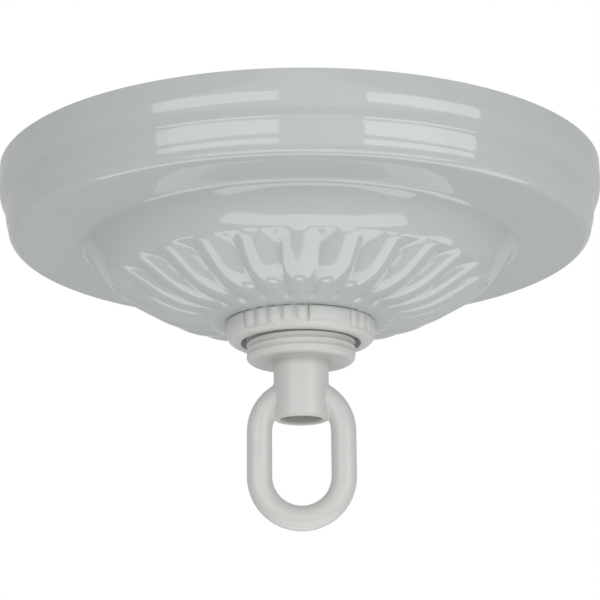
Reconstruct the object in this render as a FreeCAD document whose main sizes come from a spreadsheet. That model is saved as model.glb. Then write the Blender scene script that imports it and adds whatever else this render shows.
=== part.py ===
import FreeCAD
import Part
import Sketcher

import math
import os

# Ceiling rose for a chain-hung lamp: a stamped, fluted canopy held up against the ceiling
# by a knurled ring that runs on the threaded collar of a cast hanging loop.
# The loop hangs on a hollow nipple from a steel crossbar, which two screws hold to the box.
# Millimetres. The ceiling is the plane z = 0, the lamp hangs towards -Z, depths are positive.

doc = FreeCAD.newDocument("CeilingRose")
sheet = doc.addObject("Spreadsheet::Sheet", "Sizes")

# Driving dimensions: lengths in millimetres, turns and slopes in degrees
SIZES = {
    # Canopy: rim, three bands of the wall and the flat floor
    "canopy_diameter": 133.4,  # outside of the rim at the ceiling
    "sheet_thickness": 0.8,  # thickness of the stamped sheet
    "rim_height": 4.0,  # straight part of the wall at the ceiling
    "first_band_depth": 9.3,  # ceiling to the foot of the first band
    "first_band_draw": 1.3,  # how far the first band closes in
    "second_band_depth": 13.5,  # ceiling to the foot of the second band
    "second_band_draw": 0.8,  # how far the second band closes in
    "floor_depth": 16.2,  # ceiling to the flat floor round the dome
    "edge_draw": 2.0,  # how far the last band closes in to the floor

    # Canopy: dome, seat and flutes
    "dome_radius": 48.2,  # foot of the dome on the floor
    "dome_wall_draw": 2.8,  # how far the wall of the dome closes in
    "dome_wall_height": 3.7,  # height of the wall of the dome
    "shoulder_draw": 4.0,  # how far the smooth shoulder closes in
    "shoulder_height": 3.6,  # height of the smooth shoulder
    "shoulder_radius": 15.7,  # radius of the smooth shoulder
    "lip_draw": 2.5,  # how far the lip runs in between two flutes
    "lip_height": 0.8,  # height of the lip between two flutes
    "seat_depth": 33.0,  # ceiling to the seat of the ring
    "seat_radius": 18.6,  # outside of the flat seat
    "seat_step": 1.1,  # height of the edge of the seat
    "canopy_hole_diameter": 27.0,  # hole for the collar in the seat
    "flute_count": 26,  # convex flutes round the dome
    "flute_radius": 5.5,  # radius of the section of a flute
    "flute_sink": 0.25,  # how far the flutes stay behind the seat
    "flute_bend_radius": 21.0,  # radius of the crest of a flute near the seat
    "flute_slope": 36.0,  # slope of the straight part of a flute, in degrees
    "flute_overrun": 0.8,  # how far a flute runs on under the shoulder
    "flute_cover": 0.05,  # how far the end of a flute lies under the shoulder
    "flute_start": 16.0,  # distance from the axis at which a flute starts
    "canopy_turn": 89.6,  # how far the canopy is turned, in degrees

    # Ring
    "ring_height": 4.7,  # height of the ring
    "ring_radius": 16.5,  # plain parts of the ring
    "knurl_root_radius": 15.9,  # ring between two lobes of the knurl
    "knurl_lobe_radius": 1.75,  # radius of one lobe of the knurl
    "knurl_divisions": 32,  # divisions of the knurl round the ring
    "knurl_groups": 4,  # groups of lobes round the ring
    "knurl_group_lobes": 5,  # lobes in one group
    "knurl_turn": 23.4,  # how far the ring is turned, in degrees
    "ring_overlap": 2.0,  # how far the plain parts reach into the core of the ring
    "ring_bevel_height": 2.1,  # height of the bevel under the knurl
    "ring_bevel_draw": 1.9,  # how far the bevel closes in
    "ring_top_bevel": 0.35,  # bevel at the top edge of the ring
    "ring_mouth_clearance": 1.0,  # gap round the thread at the mouth of the ring
    "ring_mouth_depth": 1.2,  # depth of the open mouth of the ring
    "thread_clearance": 0.1,  # radial play of the ring on the thread

    # Collar, neck and loop, cast in one piece
    "collar_diameter": 24.0,  # outside of the thread of the collar
    "collar_top_depth": 23.0,  # ceiling to the top face of the collar
    "collar_bottom_depth": 42.0,  # ceiling to the bottom face of the collar
    "collar_edge_radius": 1.5,  # rounding of the bottom edge of the collar
    "collar_top_bevel": 1.0,  # lead-in at the top of the thread
    "collar_dish": 0.7,  # how far the bottom face is dished
    "neck_diameter": 12.04,  # outside of the neck
    "neck_fillet": 0.8,  # bevel between the neck and the collar
    "neck_mouth_depth": 54.9,  # ceiling to the mouth of the neck
    "neck_mouth_round": 0.7,  # bevel at the mouth of the neck
    "wireway_diameter": 9.2,  # bore of the neck for the wires
    "socket_depth": 12.0,  # depth of the tapped socket in the collar
    "loop_wire_diameter": 5.53,  # thickness of the loop
    "loop_width": 23.8,  # outside width of the loop
    "loop_upper_depth": 57.2,  # ceiling to the centre of the upper bend
    "loop_lower_depth": 67.1,  # ceiling to the centre of the lower bend

    # Nipple, nuts and washers
    "nipple_diameter": 10.3,  # outside of the nipple
    "nipple_bore": 7.2,  # bore of the nipple
    "nipple_reach": 8.0,  # how far the nipple stands above the ceiling
    "nipple_end_gap": 0.5,  # gap under the nipple in its socket
    "nipple_end_bevel": 0.7,  # bevel at both ends of the nipple
    "nipple_clearance": 0.1,  # radial play round the nipple
    "nut_across_flats": 14.3,  # locknuts, flat to flat
    "nut_thickness": 3.2,  # thickness of a locknut
    "washer_diameter": 16.0,  # outside of a toothed washer
    "washer_thickness": 0.8,  # thickness of a toothed washer
    "washer_tooth_width": 2.0,  # width of a gap between two teeth
    "washer_tooth_depth": 1.4,  # depth of a gap between two teeth
    "washer_teeth": 8,  # teeth of a washer

    # Crossbar and screws
    "bar_length": 101.6,  # length of the crossbar
    "bar_width": 16.0,  # width of the crossbar
    "bar_thickness": 2.0,  # thickness of the crossbar
    "screw_spacing": 88.9,  # distance between the two box screws
    "slot_inner_spacing": 69.9,  # narrowest spacing that the slots take
    "screw_clearance": 0.3,  # radial play of a box screw in its slot
    "box_screw_diameter": 4.16,  # outside of the thread of a box screw
    "box_screw_length": 19.05,  # length of a box screw under its head
    "box_screw_body_diameter": 3.6,  # plain part of a box screw between its head and its thread
    "box_head_diameter": 8.0,  # head of a box screw
    "box_head_height": 2.4,  # height of the head of a box screw
    "box_head_flat_diameter": 4.0,  # flat on the head of a box screw
    "box_head_edge": 0.96,  # straight edge of the head of a box screw
    "screw_tip_bevel": 1.1,  # bevel at the tip of a screw
    "slot_width": 1.2,  # width of the slot in a head
    "slot_depth": 1.2,  # depth of the slot in a head
    "ground_place": 22.0,  # ground screw from the axis
    "ground_screw_diameter": 4.8,  # outside of the thread of the ground screw
    "ground_screw_length": 9.5,  # length of the ground screw under its flange
    "ground_flange_diameter": 10.4,  # flange of the ground screw
    "ground_flange_thickness": 1.0,  # thickness of the flange
    "ground_head_flats": 7.9,  # head of the ground screw, flat to flat
    "ground_head_height": 3.0,  # height of the head above its flange
    "screw_tap_clearance": 0.05,  # radial play of a screw in its tapped hole
}

for row, (alias, value) in enumerate(SIZES.items(), 1):
    sheet.set("A%d" % row, alias.replace("_", " "))
    sheet.set("B%d" % row, str(value))
    sheet.setAlias("B%d" % row, alias)
doc.recompute()

# Places that more than one piece needs
RIM = "(Sizes.canopy_diameter / 2)"
SHEET = "Sizes.sheet_thickness"
FIRST_FOOT = "(%s - Sizes.first_band_draw)" % RIM
SECOND_FOOT = "(%s - Sizes.second_band_draw)" % FIRST_FOOT
FLOOR_EDGE = "(%s - Sizes.edge_draw)" % SECOND_FOOT
WALL_TOP = "(Sizes.dome_radius - Sizes.dome_wall_draw)"
WALL_TOP_DEPTH = "(Sizes.floor_depth + Sizes.dome_wall_height)"
SHOULDER_FOOT = "(%s - Sizes.shoulder_draw)" % WALL_TOP
SHOULDER_FOOT_DEPTH = "(%s + Sizes.shoulder_height)" % WALL_TOP_DEPTH
LIP_FOOT = "(%s - Sizes.lip_draw)" % SHOULDER_FOOT
LIP_FOOT_DEPTH = "(%s + Sizes.lip_height)" % SHOULDER_FOOT_DEPTH
RING_BOTTOM = "(Sizes.seat_depth + Sizes.ring_height)"
RING_BORE = "(Sizes.collar_diameter / 2 + Sizes.thread_clearance)"
SOCKET_END = "(Sizes.collar_top_depth + Sizes.socket_depth)"
NIPPLE_END = "(%s - Sizes.nipple_end_gap)" % SOCKET_END
NIPPLE_HOLE = "(Sizes.nipple_diameter / 2 + Sizes.nipple_clearance)"
GROUND_HOLE = "(Sizes.ground_screw_diameter / 2 + Sizes.screw_tap_clearance)"
SLOT_HALF = "(Sizes.box_screw_diameter / 2 + Sizes.screw_clearance)"


def number(expression):
    """The value of an expression on the sheet, for a first guess or a loop."""
    result = sheet.evalExpression(expression)
    return float(getattr(result, "Value", result))


def origin_item(body, role):
    """The origin plane or axis of a body that has this role."""
    for item in body.Origin.OriginFeatures:
        if item.Role == role:
            return item
    raise RuntimeError("no origin item " + role)


def sketch_on(body, name, role, offset=None):
    """A sketch on an origin plane of the body, moved along the normal by an expression."""
    sketch = body.newObject("Sketcher::SketchObject", name)
    sketch.AttachmentSupport = [(origin_item(body, role), "")]
    sketch.MapMode = "FlatFace"
    if offset:
        sketch.setExpression("AttachmentOffset.Base.z", offset)
    return sketch


def line(across, up):
    """A straight edge to a corner of an outline."""
    return (across, up, None, 0)


def bulge(across, up, radius):
    """An arc to a corner of an outline, its centre to the right of the way along it."""
    return (across, up, radius, -1)


def hollow(across, up, radius):
    """An arc to a corner of an outline, its centre to the left of the way along it."""
    return (across, up, radius, 1)


def half_round(across, up):
    """A half circle to a corner that lies level with the last one, or plumb with it."""
    return (across, up, None, 1)


def arc_between(start, end, radius, side):
    """The shorter arc of this radius between two points."""
    middle = (start + end) * 0.5
    chord = end - start
    left = FreeCAD.Vector(-chord.y, chord.x, 0).normalize()
    rise = math.sqrt(max(radius ** 2 - (chord.Length / 2) ** 2, 0.0))
    centre = middle + left * (side * rise)
    top = centre - left * (side * radius)
    return Part.Arc(start, top, end)


def bind(sketch, kind, places, expression):
    """A dimension of a sketch that follows an expression."""
    index = sketch.addConstraint(Sketcher.Constraint(kind, *places, number(expression)))
    sketch.renameConstraint(index, "size%d" % index)
    sketch.setExpression("Constraints.size%d" % index, expression)


def outline(sketch, corners, closed=True):
    """Edges through the corners, each corner held at its own distances from the origin."""
    points = [FreeCAD.Vector(number(c[0]), number(c[1]), 0) for c in corners]
    ends = []
    last = len(corners) if closed else len(corners) - 1
    for step in range(last):
        start = points[step]
        goal = (step + 1) % len(corners)
        radius, side = corners[goal][2:]
        chord = points[goal] - start
        if radius:
            edge = arc_between(start, points[goal], number(radius), side)
        elif side:
            edge = arc_between(start, points[goal], chord.Length / 2, side)
        else:
            edge = Part.LineSegment(start, points[goal])
        index = sketch.addGeometry(edge)
        first = 1 if sketch.getPoint(index, 1).distanceToPoint(start) < 1e-6 else 2
        ends.append((index, first, 3 - first))
        if radius:
            bind(sketch, "Radius", (index,), radius)
        elif side and abs(chord.x) > abs(chord.y):
            bind(sketch, "DistanceY", (-1, 1, index, 3), corners[goal][1])
        elif side:
            bind(sketch, "DistanceX", (-1, 1, index, 3), corners[goal][0])
    for step, (index, first, second) in enumerate(ends):
        bind(sketch, "DistanceX", (-1, 1, index, first), corners[step][0])
        bind(sketch, "DistanceY", (-1, 1, index, first), corners[step][1])
        if closed or step + 1 < len(ends):
            following, start_point, _ = ends[(step + 1) % len(ends)]
            places = (index, second, following, start_point)
            sketch.addConstraint(Sketcher.Constraint("Coincident", *places))
        else:
            bind(sketch, "DistanceX", (-1, 1, index, second), corners[-1][0])
            bind(sketch, "DistanceY", (-1, 1, index, second), corners[-1][1])
    return [index for index, _, _ in ends]


def circle(sketch, across, up, radius):
    """A circle held by expressions for its centre and its radius."""
    centre = FreeCAD.Vector(number(across), number(up), 0)
    index = sketch.addGeometry(Part.Circle(centre, FreeCAD.Vector(0, 0, 1), number(radius)))
    bind(sketch, "DistanceX", (-1, 1, index, 3), across)
    bind(sketch, "DistanceY", (-1, 1, index, 3), up)
    bind(sketch, "Radius", (index,), radius)


def new_body(name):
    """A body whose label names the piece."""
    body = doc.addObject("PartDesign::Body", name)
    body.Label = name
    return body


def turned(body, name, corners, kind="Revolution"):
    """A profile in the XZ plane turned once round the vertical axis, added or cut."""
    sketch = sketch_on(body, name + "_profile", "XZ_Plane")
    outline(sketch, corners)
    feature = body.newObject("PartDesign::" + kind, name)
    feature.Profile = sketch
    feature.ReferenceAxis = (sketch, ["V_Axis"])
    feature.Angle = 360
    doc.recompute()
    return feature


def round_pattern(body, name, feature, count):
    """Copies of a feature, evenly spaced round the vertical axis."""
    pattern = body.newObject("PartDesign::PolarPattern", name)
    pattern.Originals = [feature]
    pattern.Axis = (origin_item(body, "Z_Axis"), [""])
    pattern.Angle = 360
    pattern.setExpression("Occurrences", count)
    body.Tip = pattern
    doc.recompute()
    return pattern


def turn_piece(body, angle):
    """Turns a finished piece about the vertical axis."""
    body.Placement.Rotation = FreeCAD.Rotation(FreeCAD.Vector(0, 0, 1), number(angle))
    body.setExpression("Placement.Rotation.Angle", angle)


def wall_arc(rise, draw):
    """Radius of an arc that leaves a vertical line and closes in by the draw."""
    return "((({0})^2 + ({1})^2) / (2 * ({1})))".format(rise, draw)


# Canopy
def canopy_profile(inset, hole):
    """Half section of the canopy, set in by a thickness, from the ceiling to the seat."""
    first = "(Sizes.first_band_depth - Sizes.rim_height)"
    second = "(Sizes.second_band_depth - Sizes.first_band_depth)"
    edge = "(Sizes.floor_depth - Sizes.second_band_depth)"
    lift = "(%s / 2)" % inset
    return [
        line("0", "0"),
        line("%s - %s" % (RIM, inset), "0"),
        line("%s - %s" % (RIM, inset), "-Sizes.rim_height"),
        bulge("%s - %s" % (FIRST_FOOT, inset), "-Sizes.first_band_depth + " + lift,
              wall_arc("%s - %s" % (first, lift), "Sizes.first_band_draw")),
        bulge("%s - %s" % (SECOND_FOOT, inset), "-Sizes.second_band_depth + " + lift,
              wall_arc(second, "Sizes.second_band_draw")),
        bulge("%s - %s" % (FLOOR_EDGE, lift), "-Sizes.floor_depth + " + inset,
              wall_arc("%s - %s" % (edge, lift), "Sizes.edge_draw - " + lift)),
        line("Sizes.dome_radius - " + lift, "-Sizes.floor_depth + " + inset),
        line("%s - %s" % (WALL_TOP, lift), "-%s + %s" % (WALL_TOP_DEPTH, lift)),
        bulge("%s - %s" % (SHOULDER_FOOT, lift), "-%s + %s" % (SHOULDER_FOOT_DEPTH, inset),
              "Sizes.shoulder_radius"),
        line(LIP_FOOT, "-%s + %s" % (LIP_FOOT_DEPTH, inset)),
        line("Sizes.seat_radius - " + inset, "-Sizes.seat_depth + Sizes.seat_step + " + inset),
        line("Sizes.seat_radius - " + inset, "-Sizes.seat_depth + " + inset),
        line(hole, "-Sizes.seat_depth + " + inset),
    ]


def flute(body, name, inset, kind):
    """One convex flute, swept down the dome from under the shoulder to under the seat."""
    axis_radius = "(Sizes.flute_bend_radius - Sizes.flute_radius)"
    crest = "(Sizes.seat_depth - Sizes.flute_sink)"
    axis_up = "(-%s + Sizes.flute_radius)" % crest
    end_across = "(%s + Sizes.flute_overrun)" % SHOULDER_FOOT
    end_depth = ("(%s - Sizes.flute_overrun * tan(Sizes.flute_slope) - Sizes.flute_cover)"
                 % SHOULDER_FOOT_DEPTH)
    bend_rise = "(Sizes.flute_bend_radius * (1 - cos(Sizes.flute_slope)))"
    run = "((%s - %s - %s) / tan(Sizes.flute_slope))" % (crest, end_depth, bend_rise)
    bend = "(%s - %s - Sizes.flute_bend_radius * sin(Sizes.flute_slope))" % (end_across, run)
    straight_across = "(%s + %s * sin(Sizes.flute_slope))" % (bend, axis_radius)
    straight_up = "(%s + %s * (1 - cos(Sizes.flute_slope)))" % (axis_up, axis_radius)
    path = sketch_on(body, name + "_path", "XZ_Plane")
    outline(path, [
        line("Sizes.flute_start", axis_up),
        line(bend, axis_up),
        hollow(straight_across, straight_up, axis_radius),
        line("%s + %s" % (straight_across, run),
             "%s + %s * tan(Sizes.flute_slope)" % (straight_up, run)),
    ], closed=False)
    section = sketch_on(body, name + "_section", "YZ_Plane", "Sizes.flute_start")
    circle(section, "0", axis_up, "Sizes.flute_radius - " + inset)
    doc.recompute()
    pipe = body.newObject("PartDesign::" + kind, name)
    pipe.Profile = section
    pipe.Spine = (path, ["Edge1", "Edge2", "Edge3"])
    doc.recompute()
    return round_pattern(body, name + "_ring", pipe, "Sizes.flute_count")


def make_canopy():
    body = new_body("canopy")
    corners = canopy_profile("0", "0")
    turned(body, "canopy_outside", corners)
    flute(body, "flute", "0", "AdditivePipe")
    hole = "Sizes.canopy_hole_diameter / 2"
    below = "-Sizes.seat_depth - Sizes.sheet_thickness"
    corners = canopy_profile(SHEET, hole) + [line(hole, below), line("0", below)]
    hollowed = turned(body, "canopy_inside", corners, "Groove")
    body.Tip = hollowed
    flute(body, "flute_inside", SHEET, "SubtractivePipe")
    turn_piece(body, "Sizes.canopy_turn")
    return body


# Ring
def make_ring():
    body = new_body("collar_ring")
    mouth = "%s + Sizes.ring_mouth_clearance" % RING_BORE
    turned(body, "ring_core", [
        line(RING_BORE, "-Sizes.seat_depth"),
        line("Sizes.knurl_root_radius", "-Sizes.seat_depth"),
        line("Sizes.knurl_root_radius", "-" + RING_BOTTOM),
        line(mouth, "-" + RING_BOTTOM),
        line(mouth, "-%s + Sizes.ring_mouth_depth" % RING_BOTTOM),
        line(RING_BORE, "-%s + Sizes.ring_mouth_depth + Sizes.ring_mouth_clearance" % RING_BOTTOM),
    ])
    inner = "(Sizes.knurl_root_radius - Sizes.ring_overlap)"
    plain = sketch_on(body, "ring_plain_profile", "XZ_Plane")
    outline(plain, [
        line(inner, "-Sizes.seat_depth"),
        line("Sizes.ring_radius", "-Sizes.seat_depth"),
        line("Sizes.ring_radius", "-" + RING_BOTTOM),
        line(inner, "-" + RING_BOTTOM),
    ])
    sector = body.newObject("PartDesign::Revolution", "ring_plain")
    sector.Profile = plain
    sector.ReferenceAxis = (plain, ["V_Axis"])
    sector.Midplane = True
    group_angle = "360 / Sizes.knurl_divisions * Sizes.knurl_group_lobes"
    sector.setExpression("Angle", "360 / Sizes.knurl_groups - " + group_angle)
    doc.recompute()
    round_pattern(body, "ring_plain_parts", sector, "Sizes.knurl_groups")
    lobes = sketch_on(body, "knurl_group_outline", "XY_Plane", "-" + RING_BOTTOM)
    count = int(number("Sizes.knurl_group_lobes"))
    place = "(Sizes.ring_radius - Sizes.knurl_lobe_radius)"
    for lobe in range(count):
        turn = "(180 / Sizes.knurl_groups + 360 / Sizes.knurl_divisions * (%s))" % (
            lobe - (count - 1) / 2)
        circle(lobes, "%s * cos%s" % (place, turn), "%s * sin%s" % (place, turn),
               "Sizes.knurl_lobe_radius")
    pad = body.newObject("PartDesign::Pad", "knurl_group")
    pad.Profile = lobes
    pad.setExpression("Length", "Sizes.ring_height")
    doc.recompute()
    round_pattern(body, "knurl", pad, "Sizes.knurl_groups")
    outside = "(Sizes.ring_radius + Sizes.knurl_lobe_radius)"
    bevel_slope = "(Sizes.ring_bevel_draw / Sizes.ring_bevel_height)"
    spare = "(%s - Sizes.ring_radius)" % outside
    turned(body, "ring_bevel", [
        line("Sizes.ring_radius - Sizes.ring_bevel_draw", "-" + RING_BOTTOM),
        line(outside, "-%s + Sizes.ring_bevel_height + %s / %s"
             % (RING_BOTTOM, spare, bevel_slope)),
        line(outside, "-%s" % RING_BOTTOM),
    ], "Groove")
    turned(body, "ring_top_edge", [
        line("Sizes.ring_radius - Sizes.ring_top_bevel", "-Sizes.seat_depth"),
        line(outside, "-Sizes.seat_depth"),
        line(outside, "-Sizes.seat_depth - Sizes.ring_top_bevel - " + spare),
    ], "Groove")
    turn_piece(body, "Sizes.knurl_turn")
    return body


# Collar, neck and loop
def make_screw_collar_loop():
    body = new_body("screw_collar_loop")
    collar = "(Sizes.collar_diameter / 2)"
    neck = "(Sizes.neck_diameter / 2)"
    turned(body, "collar_and_neck", [
        line("0", "-Sizes.collar_top_depth"),
        line("%s - Sizes.collar_top_bevel" % collar, "-Sizes.collar_top_depth"),
        line(collar, "-Sizes.collar_top_depth - Sizes.collar_top_bevel"),
        line(collar, "-Sizes.collar_bottom_depth + Sizes.collar_edge_radius"),
        bulge("%s - Sizes.collar_edge_radius" % collar, "-Sizes.collar_bottom_depth",
              "Sizes.collar_edge_radius"),
        line("%s + Sizes.neck_fillet" % neck, "-Sizes.collar_bottom_depth + Sizes.collar_dish"),
        line(neck, "-Sizes.collar_bottom_depth + Sizes.collar_dish - Sizes.neck_fillet"),
        line(neck, "-Sizes.neck_mouth_depth + Sizes.neck_mouth_round"),
        line("%s - Sizes.neck_mouth_round" % neck, "-Sizes.neck_mouth_depth"),
        line("0", "-Sizes.neck_mouth_depth"),
    ])
    wire = "(Sizes.loop_wire_diameter / 2)"
    bend = "(Sizes.loop_width / 2 - %s)" % wire
    path = sketch_on(body, "loop_path", "XZ_Plane")
    outline(path, [
        line("-" + bend, "-Sizes.loop_lower_depth"),
        half_round(bend, "-Sizes.loop_lower_depth"),
        line(bend, "-Sizes.loop_upper_depth"),
        half_round("-" + bend, "-Sizes.loop_upper_depth"),
    ])
    section = sketch_on(body, "loop_section", "XY_Plane", "-Sizes.loop_lower_depth")
    circle(section, bend, "0", wire)
    doc.recompute()
    loop = body.newObject("PartDesign::AdditivePipe", "loop")
    loop.Profile = section
    loop.Spine = (path, ["Edge1", "Edge2", "Edge3", "Edge4"])
    doc.recompute()
    body.Tip = loop
    bore = "Sizes.wireway_diameter / 2"
    turned(body, "wireway_and_socket", [
        line("0", "-Sizes.collar_top_depth"),
        line(NIPPLE_HOLE, "-Sizes.collar_top_depth"),
        line(NIPPLE_HOLE, "-" + SOCKET_END),
        line(bore, "-" + SOCKET_END),
        line(bore, "-Sizes.neck_mouth_depth"),
        line("0", "-Sizes.neck_mouth_depth"),
    ], "Groove")
    return body


# Nipple, nuts and washers
def make_nipple():
    body = new_body("nipple")
    inner = "Sizes.nipple_bore / 2"
    outer = "(Sizes.nipple_diameter / 2)"
    turned(body, "nipple_tube", [
        line(inner, "Sizes.nipple_reach"),
        line("%s - Sizes.nipple_end_bevel" % outer, "Sizes.nipple_reach"),
        line(outer, "Sizes.nipple_reach - Sizes.nipple_end_bevel"),
        line(outer, "-%s + Sizes.nipple_end_bevel" % NIPPLE_END),
        line("%s - Sizes.nipple_end_bevel" % outer, "-" + NIPPLE_END),
        line(inner, "-" + NIPPLE_END),
    ])
    return body


def make_locknut(name, underside):
    """A hexagonal locknut on the nipple, standing on a height."""
    body = new_body(name)
    corner = "(Sizes.nut_across_flats / 2 / cos(30))"
    hexagon = sketch_on(body, name + "_hexagon", "XY_Plane", underside)
    outline(hexagon, [
        line("%s * cos(%d)" % (corner, turn), "%s * sin(%d)" % (corner, turn))
        for turn in range(0, 360, 60)
    ])
    circle(hexagon, "0", "0", NIPPLE_HOLE)
    block = body.newObject("PartDesign::Pad", name + "_block")
    block.Profile = hexagon
    block.setExpression("Length", "Sizes.nut_thickness")
    doc.recompute()
    body.Tip = block
    return body


def make_toothed_washer(name, underside):
    """A lock washer whose inner edge is cut into teeth."""
    body = new_body(name)
    blank = turned(body, name + "_blank", [
        line(NIPPLE_HOLE, underside),
        line("Sizes.washer_diameter / 2", underside),
        line("Sizes.washer_diameter / 2", "%s + Sizes.washer_thickness" % underside),
        line(NIPPLE_HOLE, "%s + Sizes.washer_thickness" % underside),
    ])
    body.Tip = blank
    gap = sketch_on(body, name + "_gap_outline", "XY_Plane", underside)
    half = "Sizes.washer_tooth_width / 2"
    inner = "(%s - %s)" % (NIPPLE_HOLE, half)
    outer = "(%s + Sizes.washer_tooth_depth)" % NIPPLE_HOLE
    outline(gap, [
        line(inner, "-" + half),
        line(outer, "-" + half),
        line(outer, half),
        line(inner, half),
    ])
    cut = body.newObject("PartDesign::Pocket", name + "_gap")
    cut.Profile = gap
    cut.Reversed = True
    cut.setExpression("Length", "Sizes.washer_thickness")
    doc.recompute()
    pattern = round_pattern(body, name + "_teeth", cut, "Sizes.washer_teeth")
    if pattern.Shape.Volume >= blank.Shape.Volume:
        raise RuntimeError(name + ": the gaps cut nothing")
    return body


# Crossbar and screws
def make_crossbar():
    body = new_body("crossbar")
    plan = sketch_on(body, "bar_plan", "XY_Plane", "-Sizes.bar_thickness")
    half = "(Sizes.bar_width / 2)"
    reach = "(Sizes.bar_length / 2 - %s)" % half
    outline(plan, [
        half_round("-" + reach, "-" + half),
        line(reach, "-" + half),
        half_round(reach, half),
        line("-" + reach, half),
    ])
    circle(plan, "0", "0", NIPPLE_HOLE)
    circle(plan, "Sizes.ground_place", "0", GROUND_HOLE)
    for side in ("", "-"):
        slot(plan, side + "(Sizes.slot_inner_spacing / 2)", side + "(Sizes.screw_spacing / 2)")
    bar = body.newObject("PartDesign::Pad", "bar")
    bar.Profile = plan
    bar.setExpression("Length", "Sizes.bar_thickness")
    doc.recompute()
    body.Tip = bar
    return body


def slot(plan, near, far):
    """A round-ended slot along the bar for a box screw, between two screw places."""
    left, right = sorted((near, far), key=number)
    outline(plan, [
        half_round(left, "-" + SLOT_HALF),
        line(right, "-" + SLOT_HALF),
        half_round(right, SLOT_HALF),
        line(left, SLOT_HALF),
    ])


def make_box_screw(name, across):
    """A screw through a slot of the bar into the box, plain inside the slot, threaded above it."""
    body = new_body(name)
    head_top = "-Sizes.bar_thickness"
    head_bottom = "(-Sizes.bar_thickness - Sizes.box_head_height)"
    radius = "(Sizes.box_head_diameter / 2)"
    shank = "Sizes.box_screw_diameter / 2"
    end = "(-Sizes.bar_thickness + Sizes.box_screw_length)"
    turned(body, name + "_blank", [
        line("0", head_bottom),
        line("Sizes.box_head_flat_diameter / 2", head_bottom),
        line(radius, "%s - Sizes.box_head_edge" % head_top),
        line(radius, head_top),
        line("Sizes.box_screw_body_diameter / 2", head_top),
        line("Sizes.box_screw_body_diameter / 2", "0"),
        line(shank, "0"),
        line(shank, end + " - Sizes.screw_tip_bevel"),
        line(shank + " - Sizes.screw_tip_bevel", end),
        line("0", end),
    ])
    drive = sketch_on(body, name + "_slot_outline", "XY_Plane", head_bottom)
    half = "(Sizes.slot_width / 2)"
    outline(drive, [
        line("-" + radius, "-" + half),
        line(radius, "-" + half),
        line(radius, half),
        line("-" + radius, half),
    ])
    cut = body.newObject("PartDesign::Pocket", name + "_slot")
    cut.Profile = drive
    cut.Reversed = True
    cut.setExpression("Length", "Sizes.slot_depth")
    doc.recompute()
    body.Tip = cut
    body.setExpression("Placement.Base.x", across)
    return body


def make_ground_screw():
    """A green earthing screw in its tapped hole, with a flanged hexagonal head."""
    body = new_body("ground_screw")
    flange_top = "-Sizes.bar_thickness"
    flange_bottom = "(-Sizes.bar_thickness - Sizes.ground_flange_thickness)"
    shank = "(Sizes.ground_screw_diameter / 2)"
    end = "(-Sizes.bar_thickness + Sizes.ground_screw_length)"
    turned(body, "ground_screw_blank", [
        line("0", flange_bottom),
        line("Sizes.ground_flange_diameter / 2", flange_bottom),
        line("Sizes.ground_flange_diameter / 2", flange_top),
        line(shank, flange_top),
        line(shank, end + " - Sizes.screw_tip_bevel"),
        line(shank + " - Sizes.screw_tip_bevel", end),
        line("0", end),
    ])
    corner = "(Sizes.ground_head_flats / 2 / cos(30))"
    hexagon = sketch_on(body, "ground_head_hexagon", "XY_Plane", flange_bottom)
    outline(hexagon, [
        line("%s * cos(%d)" % (corner, turn), "%s * sin(%d)" % (corner, turn))
        for turn in range(0, 360, 60)
    ])
    head = body.newObject("PartDesign::Pad", "ground_head")
    head.Profile = hexagon
    head.Reversed = True
    head.setExpression("Length", "Sizes.ground_head_height")
    doc.recompute()
    drive = sketch_on(body, "ground_slot_outline", "XY_Plane",
                      flange_bottom + " - Sizes.ground_head_height")
    half = "(Sizes.slot_width / 2)"
    outline(drive, [
        line("-" + corner, "-" + half),
        line(corner, "-" + half),
        line(corner, half),
        line("-" + corner, half),
    ])
    cut = body.newObject("PartDesign::Pocket", "ground_slot")
    cut.Profile = drive
    cut.Reversed = True
    cut.setExpression("Length", "Sizes.slot_depth")
    doc.recompute()
    body.Tip = cut
    body.setExpression("Placement.Base.x", "Sizes.ground_place")
    return body


pieces = [
    make_canopy(),
    make_ring(),
    make_screw_collar_loop(),
    make_nipple(),
    make_locknut("upper_locknut", "Sizes.washer_thickness"),
    make_toothed_washer("upper_lock_washer", "0"),
    make_locknut("lower_locknut", "(-Sizes.bar_thickness - Sizes.nut_thickness)"),
    make_locknut("collar_locknut", "(-Sizes.collar_top_depth + Sizes.washer_thickness)"),
    make_toothed_washer("collar_lock_washer", "-Sizes.collar_top_depth"),
    make_crossbar(),
    make_box_screw("box_screw_left", "-Sizes.screw_spacing / 2"),
    make_box_screw("box_screw_right", "Sizes.screw_spacing / 2"),
    make_ground_screw(),
]
doc.recompute()

for item in doc.Objects:
    if "Invalid" in item.State or "Error" in item.State:
        raise RuntimeError("%s could not be rebuilt: %s" % (item.Name, item.State))
for piece in pieces:
    if piece.Shape.isNull() or not piece.Shape.isValid():
        raise RuntimeError(piece.Label + " has no valid shape")
    if len(piece.Shape.Solids) != 1:
        raise RuntimeError("%s has %d solids" % (piece.Label, len(piece.Shape.Solids)))

os.makedirs("parts", exist_ok=True)
for piece in pieces:
    piece.Shape.exportStep(os.path.join("parts", piece.Label + ".step"))
    print("%-20s %10.1f mm3" % (piece.Label, piece.Shape.Volume))
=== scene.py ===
import bmesh
import bpy
import math
from mathutils import Matrix, Vector


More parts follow.
